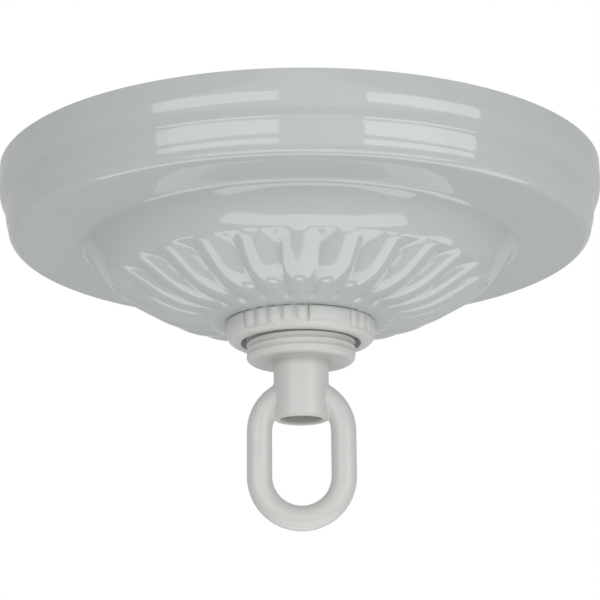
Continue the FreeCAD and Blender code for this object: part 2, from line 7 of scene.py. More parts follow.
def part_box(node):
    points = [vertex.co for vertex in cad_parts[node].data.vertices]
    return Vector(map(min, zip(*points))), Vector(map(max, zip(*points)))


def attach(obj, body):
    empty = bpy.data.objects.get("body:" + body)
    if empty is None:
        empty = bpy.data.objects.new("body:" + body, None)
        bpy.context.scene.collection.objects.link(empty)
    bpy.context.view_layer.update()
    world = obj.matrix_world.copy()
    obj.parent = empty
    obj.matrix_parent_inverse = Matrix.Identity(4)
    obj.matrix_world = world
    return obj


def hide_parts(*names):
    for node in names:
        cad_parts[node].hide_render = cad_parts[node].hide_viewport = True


bl_info = {
    "name": "Ceiling rose",
    "version": (1, 0, 0),
    "blender": (4, 5, 0),
    "location": "View3D > Sidebar > Ceiling rose",
    "description": "Fluted canopy, knurled ring, threaded collar with its loop, steel parts inside",
    "category": "Object",
}

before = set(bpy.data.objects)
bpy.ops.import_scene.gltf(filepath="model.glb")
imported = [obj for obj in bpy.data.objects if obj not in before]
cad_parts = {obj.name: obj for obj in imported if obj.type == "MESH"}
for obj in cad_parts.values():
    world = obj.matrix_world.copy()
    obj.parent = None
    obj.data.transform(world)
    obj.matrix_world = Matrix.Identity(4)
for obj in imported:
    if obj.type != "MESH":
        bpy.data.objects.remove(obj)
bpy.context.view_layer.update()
MM = 0.001
TURN = 2 * math.pi
TOUCHING = 1e-7  # points of a mesh closer than this, in metres, are one point
CANOPY_LOW, CANOPY_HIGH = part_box("canopy")
RING_LOW, RING_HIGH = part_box("collar_ring")
COLLAR_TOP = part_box("screw_collar_loop")[1].z
NIPPLE_LOW, NIPPLE_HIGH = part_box("nipple")
SCREW_LOW, SCREW_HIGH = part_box("box_screw_right")
GROUND_LOW, GROUND_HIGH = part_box("ground_screw")


def length(name, description, default):
    """A size in metres that a user can change."""
    return bpy.props.FloatProperty(name=name, description=description, default=default,
                                   subtype="DISTANCE", unit="LENGTH", precision=5)


def angle(name, description, degrees):
    """An angle that a user can change."""
    return bpy.props.FloatProperty(name=name, description=description, default=math.radians(degrees),
                                   subtype="ANGLE", unit="ROTATION")


def count(name, description, default):
    """A number of like features."""
    return bpy.props.IntProperty(name=name, description=description, default=default, min=1)


def colour(name, description, default):
    """A colour that a user can change."""
    return bpy.props.FloatVectorProperty(name=name, description=description, default=default,
                                         subtype="COLOR", size=3, min=0.0, max=1.0)


def share(name, description, default):
    """A share from nothing to one."""
    return bpy.props.FloatProperty(name=name, description=description, default=default,
                                   subtype="FACTOR", min=0.0, max=1.0)


class CanopySizes(bpy.types.PropertyGroup):
    """Sizes and paint of the stamped canopy."""
    rim: length("Rim", "Radius of the rim at the ceiling", CANOPY_HIGH.x)
    sheet: length("Sheet", "Thickness of the stamped sheet", 0.8 * MM)
    hole: length("Hole", "Radius of the hole for the collar", 13.5 * MM)
    seat: length("Seat", "Radius of the flat seat round the hole", 18.6 * MM)
    flutes: count("Flutes", "Convex flutes round the dome", 26)
    flute_radius: length("Flute radius", "Radius of the section of a flute", 7.0 * MM)
    crest: length("Crest", "Depth of the crest of a flute near the seat", 32.3 * MM)
    bend_start: length("Bend start", "Distance from the axis where a crest starts to rise", 21.5 * MM)
    bend_radius: length("Bend radius", "Radius of the crest where it bends", 24.4 * MM)
    slope: angle("Slope", "Slope of the upper part of a flute", 30.0)
    flute_end: length("Flute end", "Distance from the axis at which a flute runs out", 41.7 * MM)
    softness: length("Softness", "Rounding of the valley between two flutes", 0.28 * MM)
    turn: angle("Turn", "How far the flutes are turned", 89.6)
    paint: colour("Paint", "Colour of the paint on the canopy", (0.432, 0.462, 0.451))
    gloss: share("Roughness", "Roughness of the paint on the canopy", 0.05)


class RingSizes(bpy.types.PropertyGroup):
    """Sizes of the knurled ring."""
    plain: length("Plain radius", "Radius of the plain parts", 16.5 * MM)
    root: length("Root radius", "Radius between two lobes", 15.85 * MM)
    lobe: length("Lobe radius", "Radius of one lobe", 1.75 * MM)
    groups: count("Groups", "Groups of lobes round the ring", 4)
    lobes: count("Lobes", "Lobes in one group", 5)
    divisions: count("Divisions", "Divisions of the knurl round the ring", 32)
    turn: angle("Turn", "How far the ring is turned", 23.4)
    bore: length("Bore", "Radius of the bore on the thread", 12.1 * MM)
    mouth: length("Mouth", "Radius of the open mouth", 13.1 * MM)


class CastingSizes(bpy.types.PropertyGroup):
    """Sizes and paint of the collar, neck and loop, and the paint of the ring."""
    collar: length("Collar", "Radius of the threaded collar", 12.0 * MM)
    pitch: length("Pitch", "Distance between two turns of the collar's thread", 25.4 / 18 * MM)
    thread: length("Thread depth", "Depth of the collar's thread", 0.42 * MM)
    neck: length("Neck", "Radius of the neck", 6.02 * MM)
    wireway: length("Wireway", "Radius of the bore for the wires", 4.6 * MM)
    wire: length("Wire", "Radius of the loop's round bar", 2.765 * MM)
    bend: length("Bend", "Radius of the loop's centre line", 9.135 * MM)
    upper: length("Upper bend", "Depth of the centre of the upper bend", 57.2 * MM)
    lower: length("Lower bend", "Depth of the centre of the lower bend", 67.1 * MM)
    paint: colour("Paint", "Colour of the paint on the castings", (0.515, 0.530, 0.506))
    gloss: share("Roughness", "Roughness of the paint on the castings", 0.34)


class SteelSizes(bpy.types.PropertyGroup):
    """Sizes and colours of the steel parts inside."""
    nipple: length("Nipple", "Outside radius of the nipple", NIPPLE_HIGH.x)
    nipple_bore: length("Nipple bore", "Radius of the bore of the nipple", 3.6 * MM)
    nipple_pitch: length("Nipple pitch", "Distance between two turns of its thread", 25.4 / 27 * MM)
    screw: length("Box screw", "Outside radius of the thread of a box screw", 2.08 * MM)
    screw_pitch: length("Screw pitch", "Distance between two turns of a screw's thread", 25.4 / 32 * MM)
    edge: length("Edge", "Rounding of the edges of the steel parts", 0.18 * MM)
    plating: colour("Plating", "Colour of the zinc plating", (0.62, 0.64, 0.66))
    lacquer: colour("Lacquer", "Colour of the ground screw", (0.03, 0.27, 0.09))


class StageSettings(bpy.types.PropertyGroup):
    """Floor, lights and camera."""
    floor_depth: length("Floor", "How far the floor lies under the ceiling", 1.6)
    floor_colour: colour("Floor colour", "Colour of the plain floor", (0.68, 0.68, 0.68))
    ambient: share("Ambient", "Strength of the even light from all round", 0.58)
    lens: bpy.props.FloatProperty(name="Lens", description="Focal length in millimetres",
                                  default=113.115, min=1.0, subtype="DISTANCE_CAMERA")


GROUPS = (("canopy_sizes", CanopySizes), ("ring_sizes", RingSizes), ("casting_sizes", CastingSizes),
          ("steel_sizes", SteelSizes), ("stage_settings", StageSettings))


class Number:
    """A number in a node tree. Sums, products and functions of it add Math nodes."""

    def __init__(self, tree, socket):
        self.tree = tree
        self.socket = socket

    def math(self, operation, *others):
        node = self.tree.nodes.new("ShaderNodeMath")
        node.operation = operation
        for place, item in enumerate((self,) + others):
            if isinstance(item, Number):
                self.tree.links.new(item.socket, node.inputs[place])
            else:
                node.inputs[place].default_value = item
        return Number(self.tree, node.outputs[0])

    def __add__(self, other):
        return self.math("ADD", other)

    def __sub__(self, other):
        return self.math("SUBTRACT", other)

    def __mul__(self, other):
        return self.math("MULTIPLY", other)

    def __truediv__(self, other):
        return self.math("DIVIDE", other)

    def __neg__(self):
        return self.math("MULTIPLY", -1.0)

    def least(self, other):
        return self.math("MINIMUM", other)

    def most(self, other):
        return self.math("MAXIMUM", other)

    def root(self):
        return self.most(0.0).math("SQRT")

    def sine(self):
        return self.math("SINE")

    def cosine(self):
        return self.math("COSINE")

    def folded(self, span):
        """The number brought to within half a span of zero."""
        half = span * 0.5
        return self.math("WRAP", half, -half)

    def step(self, low, high):
        """Nothing at the low number and beyond, one at the high one and beyond, smooth between."""
        node = self.tree.nodes.new("ShaderNodeMapRange")
        node.interpolation_type = "SMOOTHSTEP"
        for socket, item in zip(node.inputs[:3], (self, low, high)):
            if isinstance(item, Number):
                self.tree.links.new(item.socket, socket)
            else:
                socket.default_value = item
        return Number(self.tree, node.outputs[0])

    def mixed(self, other, factor):
        """This number where the factor is nothing, and the other where it is one."""
        return self + (other - self) * factor


class Tree:
    """A Geometry Nodes tree that takes a mesh and numbers, each with its label."""

    def __init__(self, name, labels):
        self.tree = bpy.data.node_groups.new(name, "GeometryNodeTree")
        face = self.tree.interface
        face.new_socket(name="Geometry", in_out="INPUT", socket_type="NodeSocketGeometry")
        self.sockets = {label: face.new_socket(name=label, in_out="INPUT", socket_type="NodeSocketFloat")
                        for label in labels}
        face.new_socket(name="Geometry", in_out="OUTPUT", socket_type="NodeSocketGeometry")
        self.start = self.tree.nodes.new("NodeGroupInput")

    def input(self, label):
        return Number(self.tree, self.start.outputs[label])

    def close(self, geometry, material):
        """Ends the tree with real geometry that has its material."""
        realize = self.tree.nodes.new("GeometryNodeRealizeInstances")
        paint = self.tree.nodes.new("GeometryNodeSetMaterial")
        paint.inputs["Material"].default_value = material
        out = self.tree.nodes.new("NodeGroupOutput")
        self.tree.links.new(geometry, realize.inputs[0])
        self.tree.links.new(realize.outputs[0], paint.inputs["Geometry"])
        self.tree.links.new(paint.outputs[0], out.inputs[0])

    def apply(self, piece, values):
        """Runs the tree on a piece with these values and keeps the plain mesh."""
        modifier = piece.modifiers.new("tree", "NODES")
        modifier.node_group = self.tree
        for label, value in values.items():
            modifier[self.sockets[label].identifier] = float(value)
        keep_mesh(piece)


class Rule(Tree):
    """A tree that moves each point of a round mesh by a rule."""

    def __init__(self, name, labels):
        super().__init__(name, labels)
        place = self.tree.nodes.new("GeometryNodeInputPosition")
        parts = self.tree.nodes.new("ShaderNodeSeparateXYZ")
        self.tree.links.new(place.outputs[0], parts.inputs[0])
        across, along, self.height = (Number(self.tree, part) for part in parts.outputs)
        self.radius = (across * across + along * along).root()
        self.angle = along.math("ARCTAN2", across)

    def finish(self, radius, height, material):
        """Puts each point at this radius and height, on its own bearing, and sets the material."""
        nodes, link = self.tree.nodes, self.tree.links.new
        place = nodes.new("ShaderNodeCombineXYZ")
        link((radius * self.angle.cosine()).socket, place.inputs[0])
        link((radius * self.angle.sine()).socket, place.inputs[1])
        link(height.socket, place.inputs[2])
        moved = nodes.new("GeometryNodeSetPosition")
        link(self.start.outputs["Geometry"], moved.inputs["Geometry"])
        link(place.outputs[0], moved.inputs["Position"])
        self.close(moved.outputs[0], material)


def keep_mesh(piece):
    """Turns what the modifiers make into the piece's own plain mesh."""
    bpy.context.view_layer.update()
    evaluated = piece.evaluated_get(bpy.context.evaluated_depsgraph_get())
    mesh = bpy.data.meshes.new_from_object(evaluated)
    piece.modifiers.clear()
    piece.data = mesh
    piece.data.name = piece.name


def new_piece(name, data):
    """A new object at the origin with this mesh, light or camera."""
    piece = bpy.data.objects.new(name, data)
    bpy.context.scene.collection.objects.link(piece)
    return piece


def bulging(start, end, radius, steps):
    """Points of the arc of this radius from start to end, without the start.

    The centre lies to the right of the way, and to the left where the radius is less than nothing.
    """
    sx, sz = start
    ex, ez = end
    chord = math.hypot(ex - sx, ez - sz)
    rise = math.sqrt(max(radius ** 2 - chord ** 2 / 4, 0.0)) * (1 if radius > 0 else -1)
    cx = (sx + ex) / 2 + (ez - sz) / chord * rise
    cz = (sz + ez) / 2 - (ex - sx) / chord * rise
    first = math.atan2(sz - cz, sx - cx)
    sweep = math.remainder(math.atan2(ez - cz, ex - cx) - first, TURN)
    return [(cx + abs(radius) * math.cos(first + sweep * s / steps),
             cz + abs(radius) * math.sin(first + sweep * s / steps)) for s in range(1, steps + 1)]


def straight(start, end, steps):
    """Points of a straight run, without its start."""
    return [(start[0] + (end[0] - start[0]) * s / steps, start[1] + (end[1] - start[1]) * s / steps)
            for s in range(1, steps + 1)]


NEARLY_STRAIGHT = math.radians(175)  # a corner as open as this gets no round
SHARE_OF_EDGE = 0.45  # how much of an edge the round at one of its ends may take


def softened(points, radius, steps=3):
    """The same section with each corner cut by a small round, ends left as they are."""
    made = [points[0]]
    for before, corner, after in zip(points, points[1:], points[2:]):
        a, b, c = Vector(before), Vector(corner), Vector(after)
        into, out = (a - b), (c - b)
        reach = min(radius, into.length * SHARE_OF_EDGE, out.length * SHARE_OF_EDGE)
        if reach < TOUCHING or into.angle(out) > NEARLY_STRAIGHT:
            made.append(corner)
            continue
        p, q = b + into.normalized() * reach, b + out.normalized() * reach
        for step in range(steps + 1):
            t = step / steps
            made.append(tuple(p * (1 - t) ** 2 + b * 2 * t * (1 - t) + q * t * t))
    return made + [points[-1]]


def turned(name, section, segments, closed=False, start=0.0):
    """A section of (radius, height) turned once round the vertical axis. A point on it is a pole."""
    mesh = bpy.data.meshes.new(name)
    points, rings = [], []
    for radius, height in section:
        if radius < TOUCHING:
            rings.append([len(points)] * segments)
            points.append((0.0, 0.0, height))
            continue
        rings.append(list(range(len(points), len(points) + segments)))
        for step in range(segments):
            turn = start + TURN * step / segments
            points.append((radius * math.cos(turn), radius * math.sin(turn), height))
    faces = []
    for lower, upper in zip(rings, rings[1:] + (rings[:1] if closed else [])):
        for step in range(segments):
            following = (step + 1) % segments
            face = [lower[step], lower[following], upper[following], upper[step]]
            face = [v for place, v in enumerate(face) if v != face[place - 1]]
            if len(face) > 2:
                faces.append(face)
    mesh.from_pydata(points, [], faces)
    mesh.update()
    return new_piece(name, mesh)


def outward(piece, open_sheet=False):
    """Makes every face point outwards, an open sheet's lowest one down, and shades it smooth."""
    work = bmesh.new()
    work.from_mesh(piece.data)
    bmesh.ops.remove_doubles(work, verts=work.verts, dist=TOUCHING)
    bmesh.ops.recalc_face_normals(work, faces=work.faces)
    if open_sheet:
        lowest = min(work.faces, key=lambda face: face.calc_center_median().z)
        if lowest.normal.z > 0:
            bmesh.ops.reverse_faces(work, faces=work.faces)
    for face in work.faces:
        face.smooth = True
    work.to_mesh(piece.data)
    work.free()
    return piece


def shaded(piece, degrees):
    """Shades a piece smooth, but for edges steeper than this angle."""
    for face in piece.data.polygons:
        face.use_smooth = True
    piece.data.set_sharp_from_angle(angle=math.radians(degrees))


def joined(name, pieces):
    """Several closed meshes as one piece."""
    work = bmesh.new()
    for piece in pieces:
        work.from_mesh(piece.data)
    mesh = bpy.data.meshes.new(name)
    work.to_mesh(mesh)
    work.free()
    for piece in pieces:
        bpy.data.objects.remove(piece)
    return new_piece(name, mesh)


def cut(piece, tool, operation="DIFFERENCE"):
    """Cuts a tool out of a piece, or joins it, and removes the tool."""
    modifier = piece.modifiers.new("cut", "BOOLEAN")
    modifier.operation = operation
    modifier.solver = "EXACT"
    modifier.object = tool
    keep_mesh(piece)
    bpy.data.objects.remove(tool)
    return piece


def settle(piece, body, slot, material, *nodes):
    """Gives a finished piece its material, hangs it on the empty of what it rides on, and hides the
    nodes it stands for.
    """
    piece.data.materials.clear()
    piece.data.materials.append(material)
    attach(piece, body)
    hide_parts(*nodes)


# A Mix node has its inputs and outputs once for each kind of data, and these are the colour ones.
COLOUR_MIX_INPUTS = (0, 6, 7)
COLOUR_MIX_OUTPUT = 2


class Finish:
    """A procedural material on Object coordinates, around one Principled shader."""

    def __init__(self, name, base, roughness, metallic=0.0):
        self.material = bpy.data.materials.new(name)
        self.material.use_nodes = True
        self.tree = self.material.node_tree
        self.shader = self.tree.nodes["Principled BSDF"]
        self.place = self.tree.nodes.new("ShaderNodeTexCoord").outputs["Object"]
        self.base = base
        self.roughness = roughness
        self.shader.inputs["Metallic"].default_value = metallic
        self.normal = None

    def noise(self, patches, detail=2.0, rough=0.5, drawn=None):
        """Noise between nothing and one, so many patches a metre, or scaled along the axes."""
        node = self.tree.nodes.new("ShaderNodeTexNoise")
        node.inputs["Scale"].default_value = patches
        node.inputs["Detail"].default_value = detail
        node.inputs["Roughness"].default_value = rough
        place = self.place
        if drawn:
            mapping = self.tree.nodes.new("ShaderNodeMapping")
            mapping.inputs["Scale"].default_value = drawn
            self.tree.links.new(place, mapping.inputs["Vector"])
            place = mapping.outputs[0]
        self.tree.links.new(place, node.inputs["Vector"])
        return Number(self.tree, node.outputs[0])

    def tint(self, factor, darker, lighter):
        """Colour between a darker and a lighter share of the base colour."""
        ramp = self.tree.nodes.new("ShaderNodeMix")
        ramp.data_type = "RGBA"
        share_in, first, second = (ramp.inputs[place] for place in COLOUR_MIX_INPUTS)
        first.default_value = tuple(c * darker for c in self.base) + (1.0,)
        second.default_value = tuple(min(c * lighter, 1.0) for c in self.base) + (1.0,)
        self.tree.links.new(factor.socket, share_in)
        self.tree.links.new(ramp.outputs[COLOUR_MIX_OUTPUT], self.shader.inputs["Base Color"])

    def wear(self, factor, spread):
        """Roughness that changes by a spread over the surface."""
        self.tree.links.new((factor * spread + (self.roughness - spread / 2)).socket,
                            self.shader.inputs["Roughness"])

    def relief(self, height, distance):
        """Fine relief this high, in metres, on top of what is there already."""
        node = self.tree.nodes.new("ShaderNodeBump")
        node.inputs["Strength"].default_value = 1.0
        node.inputs["Distance"].default_value = distance
        self.tree.links.new(height.socket, node.inputs["Height"])
        if self.normal:
            self.tree.links.new(self.normal, node.inputs["Normal"])
        self.normal = node.outputs[0]
        self.tree.links.new(self.normal, self.shader.inputs["Normal"])


FINISHES = {}


def finish(maker):
    """The material that a function below makes, made when it is first asked for."""
    if maker not in FINISHES:
        FINISHES[maker] = maker().material
    return FINISHES[maker]


def canopy_paint():
    """Smooth glossy paint on stamped sheet, with a slight flow of the paint."""
    sizes = bpy.context.scene.canopy_sizes
    made = Finish("canopy_paint", tuple(sizes.paint), sizes.gloss)
    made.shader.inputs["Specular IOR Level"].default_value = 0.6
    made.tint(made.noise(patches=38.0), darker=0.985, lighter=1.015)
    made.wear(made.noise(patches=120.0), spread=0.02)
    made.relief(made.noise(patches=230.0, detail=1.0), distance=0.006 * MM)
    return made


def casting_paint():
    """Thicker paint on a casting, dull and slightly uneven."""
    sizes = bpy.context.scene.casting_sizes
    made = Finish("casting_paint", tuple(sizes.paint), sizes.gloss)
    made.tint(made.noise(patches=210.0, detail=3.0), darker=0.965, lighter=1.025)
    made.wear(made.noise(patches=400.0), spread=0.14)
    made.relief(made.noise(patches=420.0), distance=0.06 * MM)
    made.relief(made.noise(patches=1900.0, detail=3.0, rough=0.6), distance=0.018 * MM)
    return made


def zinc_plate():
    """Bright zinc plating with fine drawing marks and dull patches."""
    sizes = bpy.context.scene.steel_sizes
    made = Finish("zinc_plate", tuple(sizes.plating), roughness=0.33, metallic=1.0)
    made.tint(made.noise(patches=160.0, detail=4.0, rough=0.6), darker=0.82, lighter=1.06)
    made.wear(made.noise(patches=330.0, detail=4.0, rough=0.6), spread=0.2)
    made.relief(made.noise(patches=900.0, drawn=(0.12, 1.0, 1.0)), distance=0.02 * MM)
    return made


def green_lacquer():
    """Green lacquer on a steel screw."""
    sizes = bpy.context.scene.steel_sizes
    made = Finish("green_lacquer", tuple(sizes.lacquer), roughness=0.28, metallic=0.35)
    made.tint(made.noise(patches=420.0, detail=3.0), darker=0.75, lighter=1.2)
    made.wear(made.noise(patches=800.0), spread=0.16)
    made.relief(made.noise(patches=1500.0), distance=0.015 * MM)
    return made


def leaving(draw, drop):
    """Radius of the arc that leaves an upright wall without a corner and ends at this draw and drop."""
    return (drop ** 2 + draw ** 2) / (2 * draw)


# The canopy's outside before it has flutes, from the rim to the seat, in millimetres. A row is one
# stretch: how far from the rim (WALL) or the axis (DOME) it ends, how deep, the radius of its arc
# (None where it is straight, less than nothing where it is hollow) and its steps.
WALL = (
    (0.0, 4.0, None, 3),  # upright wall
    (1.38, 8.8, leaving(draw=1.38, drop=4.8), 7),  # upper band
    (1.54, 9.5, -1.3, 4),  # groove under it
    (2.16, 13.1, 14.0, 7),  # lower band
    (2.3, 13.7, -1.5, 4),  # groove under it
    (4.25, 16.2, 2.8, 8),  # rounded lower edge
)
DOME = (
    (49.5, 16.2, None, 4),  # flat floor
    (47.45, 17.2, -2.5, 7),  # foot of the shoulder
    (43.9, 21.9, None, 4),  # side of the shoulder
    (41.85, 23.95, 12.0, 10),  # its rounded lower edge
    (36.0, 25.8, None, 10),  # ground of the flutes, outer part
    (19.0, 31.75, None, 20),  # inner part
    (18.4, 32.0, None, 1),  # step round the seat
    (17.9, 32.3, None, 1),
)
SHEET_ROUND = 0.35 * MM  # round at its corners
STEPS_A_FLUTE = 16
RUN_OUT = 3.0  # how steeply a flute rises into the sheet past its end
CRISP_FROM, CRISP_TO = 36.0 * MM, 40.0 * MM  # outwards between these, the valleys get crisper
CRISPEST = 0.25  # share of their softness that is left then
FLUTES_FROM, FLUTES_TO = 43.2 * MM, 42.2 * MM  # inwards between these, the flutes set in
SEAT_BLEND = 1.19  # from this many seat radii the flutes flatten towards the seat


def canopy_section(s):
    """Outside of the canopy before its flutes, from the rim to the hole."""
    points = [(s.rim, 0.0)]
    rows = [(s.rim - inwards * MM, *rest) for inwards, *rest in WALL]
    rows += [(outwards * MM, *rest) for outwards, *rest in DOME]
    for across, depth, radius, steps in rows:
        end = (across, -depth * MM)
        if radius:
            points += bulging(points[-1], end, radius * MM, steps)
        else:
            points += straight(points[-1], end, steps)
    points += straight(points[-1], (s.hole, CANOPY_LOW.z), 4)
    return softened(points, SHEET_ROUND, 1)


class CEILING_OT_canopy(bpy.types.Operator):
    """Makes the stamped canopy with its flutes"""
    bl_idname = "ceiling.canopy"
    bl_label = "Canopy"

    def execute(self, context):
        s = context.scene.canopy_sizes
        material = finish(canopy_paint)
        piece = turned("fluted_canopy", canopy_section(s), s.flutes * STEPS_A_FLUTE, start=s.turn)
        values = {
            "Flutes": s.flutes, "Flute radius": s.flute_radius, "Crest": s.crest,
            "Bend start": s.bend_start, "Bend radius": s.bend_radius, "Slope": s.slope,
            "Flute end": s.flute_end, "Softness": s.softness, "Turn": s.turn,
            "Seat": s.seat, "Seat depth": -CANOPY_LOW.z}
        rule = Rule("flutes on a dome", values)
        spacing = rule.input("Flutes").math("POWER", -1.0) * TURN
        off = (rule.angle - rule.input("Turn")).folded(spacing)
        aside = rule.radius * off.sine()
        out = rule.radius * off.cosine()
        tube = rule.input("Flute radius")
        slope = rule.input("Slope")
        axis = rule.input("Bend radius") - tube
        reach = axis + (tube * tube - aside * aside).root()
        centre = rule.input("Bend radius") - rule.input("Crest")
        past = (out - rule.input("Bend start")).most(0.0)
        turn_end = reach * slope.sine()
        curved = past.least(turn_end)
        depth = (reach * reach - curved * curved).root() - centre
        depth = depth - (past - curved) * slope.math("TANGENT")
        run_out = (rule.radius - rule.input("Flute end")).most(0.0)
        depth = depth - run_out * RUN_OUT
        base = -rule.height
        gap = base - depth
        inner = rule.radius.step(CRISP_TO, CRISP_FROM)
        soft = rule.input("Softness") * (inner * (1.0 - CRISPEST) + CRISPEST)
        joined_depth = (base + depth + (gap * gap + soft * soft).root()) * 0.5
        fluted = rule.radius.step(FLUTES_FROM, FLUTES_TO)
        height = rule.height.mixed(-joined_depth, fluted)
        seat = rule.radius.step(rule.input("Seat") * SEAT_BLEND, rule.input("Seat"))
        height = height.mixed(-rule.input("Seat depth"), seat)
        rule.finish(rule.radius, height, material)
        rule.apply(piece, values)
        outward(piece, open_sheet=True)
        shell = piece.modifiers.new("sheet", "SOLIDIFY")
        shell.thickness = s.sheet
        shell.offset = -1.0
        shell.use_even_offset = True
        shell.use_quality_normals = True
        keep_mesh(piece)
        shaded(piece, 55)
        settle(piece, "canopy", "canopy_paint", material, "canopy")
        return {"FINISHED"}


RING_TOP_ROUND = 0.45 * MM  # round at the upper outer edge
RING_FOOT, RING_DRAW = 2.1 * MM, 1.9 * MM  # height of the rounded foot, and how far it closes in
RING_FOOT_RADIUS = 2.6 * MM
MOUTH_ROUND = 0.3 * MM
MOUTH_DEPTH, MOUTH_END = 1.2 * MM, 2.2 * MM  # between these depths the mouth narrows to the bore
LOBE_END = 2.4 * MM  # height over the lower face from which a lobe is round downwards
GROUP_FADE = 0.008  # radians to each side of a group's end in which it fades out
RING_STEPS = 1120


class CEILING_OT_ring(bpy.types.Operator):
    """Makes the knurled ring"""
    bl_idname = "ceiling.ring"
    bl_label = "Knurled ring"

    def execute(self, context):
        s = context.scene.ring_sizes
        material = finish(casting_paint)
        top, bottom = RING_HIGH.z, RING_LOW.z
        section = [(s.bore, top), (s.plain - RING_TOP_ROUND, top)]
        section += bulging(section[-1], (s.plain, top - RING_TOP_ROUND), RING_TOP_ROUND, 4)
        section += straight(section[-1], (s.plain, bottom + RING_FOOT), 12)
        section += bulging(section[-1], (s.plain - RING_DRAW, bottom), RING_FOOT_RADIUS, 12)
        section += straight(section[-1], (s.mouth + MOUTH_ROUND, bottom), 2)
        section += bulging(section[-1], (s.mouth, bottom + MOUTH_ROUND), MOUTH_ROUND, 3)
        section += [(s.mouth, bottom + MOUTH_DEPTH), (s.bore, bottom + MOUTH_END)]
        piece = turned("knurled_ring", section, RING_STEPS, closed=True, start=s.turn)
        values = {
            "Plain": s.plain, "Root": s.root, "Lobe": s.lobe, "Groups": s.groups,
            "Lobes": s.lobes, "Divisions": s.divisions, "Turn": s.turn, "Bottom": bottom}
        rule = Rule("knurl on a ring", values)
        group = rule.input("Groups").math("POWER", -1.0) * TURN
        division = rule.input("Divisions").math("POWER", -1.0) * TURN
        bearing = (rule.angle - rule.input("Turn") - group * 0.5).folded(group)
        half = division * rule.input("Lobes") * 0.5
        off = bearing.folded(division)
        place = rule.input("Plain") - rule.input("Lobe")
        aside = place * off.sine()
        under = (rule.input("Bottom") + LOBE_END - rule.height).most(0.0)
        bulge = rule.input("Lobe").math("POWER", 2.0) - aside * aside - under * under
        lobe = place * off.cosine() + bulge.most(0.0).root()
        past = bearing.math("ABSOLUTE") - half
        knurl = lobe.most(rule.input("Root"))
        radius = rule.radius.least(knurl.mixed(rule.input("Plain"), past.step(-GROUP_FADE, GROUP_FADE)))
        rule.finish(radius, rule.height, material)
        rule.apply(piece, values)
        shaded(outward(piece), 50)
        settle(piece, "collar_ring", "casting_paint", material, "collar_ring")
        return {"FINISHED"}


THREAD_FLANKS = 0.8  # under one, the hollows of a thread are wider than its ridges
SKIN_FROM, SKIN_TO = 0.12 * MM, 0.04 * MM  # depths under the outside where it ends and is full


def thread_rule(material):
    """A rule that presses a right-hand thread into the wall of a round mesh."""
    rule = Rule("thread on a round bar", ("Outside", "Pitch", "Depth", "From", "To", "Fade"))
    phase = rule.height / rule.input("Pitch") - rule.angle / TURN
    wave = ((phase * TURN).cosine() * 0.5 + 0.5).math("POWER", THREAD_FLANKS)
    fade = rule.input("Fade")
    above = rule.height.step(rule.input("From"), rule.input("From") + fade)
    below = rule.height.step(rule.input("To"), rule.input("To") - fade)
    outside = rule.input("Outside")
    wall = rule.radius.step(outside - SKIN_FROM, outside - SKIN_TO)
    radius = rule.radius - wave * rule.input("Depth") * above * below * wall
    rule.finish(radius, rule.height, material)
    return rule


COLLAR_FOOT = -42.0 * MM  # lower face of the collar
COLLAR_LEAD = 1.0 * MM  # bevel at the top of the thread
COLLAR_ROUND = 1.6 * MM  # round at the lower edge
COLLAR_STEPS = 300
DISH = ((6.4 * MM, 0.65 * MM), (6.3 * MM, 1.2 * MM))  # hollow under it: radius, height
DISH_TOP = 1.4 * MM  # height of the hollow at the bore
SOCKET, SOCKET_END = 5.25 * MM, -35.0 * MM  # radius and lower end of the nipple's socket
THREAD_END, THREAD_FADE = -40.9 * MM, 0.45 * MM
NECK_TOP, NECK_MOUTH = -40.7 * MM, -54.9 * MM
NECK_FLARE = 0.5 * MM  # how much wider the neck is at the collar
FLARE_END, NECK_START = -41.3 * MM, -41.9 * MM  # between these the flare runs into the neck
FLARE_ROUND = 0.6 * MM
MOUTH_EDGE, MOUTH_EDGE_HEIGHT = 0.7 * MM, 0.8 * MM  # round outside at the neck's mouth
BORE_TOP = -39.0 * MM
BORE_BEVEL, BORE_BEVEL_HEIGHT = 0.35 * MM, 0.4 * MM  # bevel of the bore at the mouth
BEVEL_END, BEYOND = 0.05 * MM, 0.6 * MM  # how far under the mouth the bevel and the tool end
NECK_STEPS = 96
VOXEL = 0.23 * MM  # fineness of the form in which neck and loop melt together
SMOOTHING, SMOOTHINGS = 0.5, 6  # strength and number of the passes that smooth it
BEND_STEPS, WIRE_STEPS = 24, 40  # steps along half a turn of the loop, and round its bar


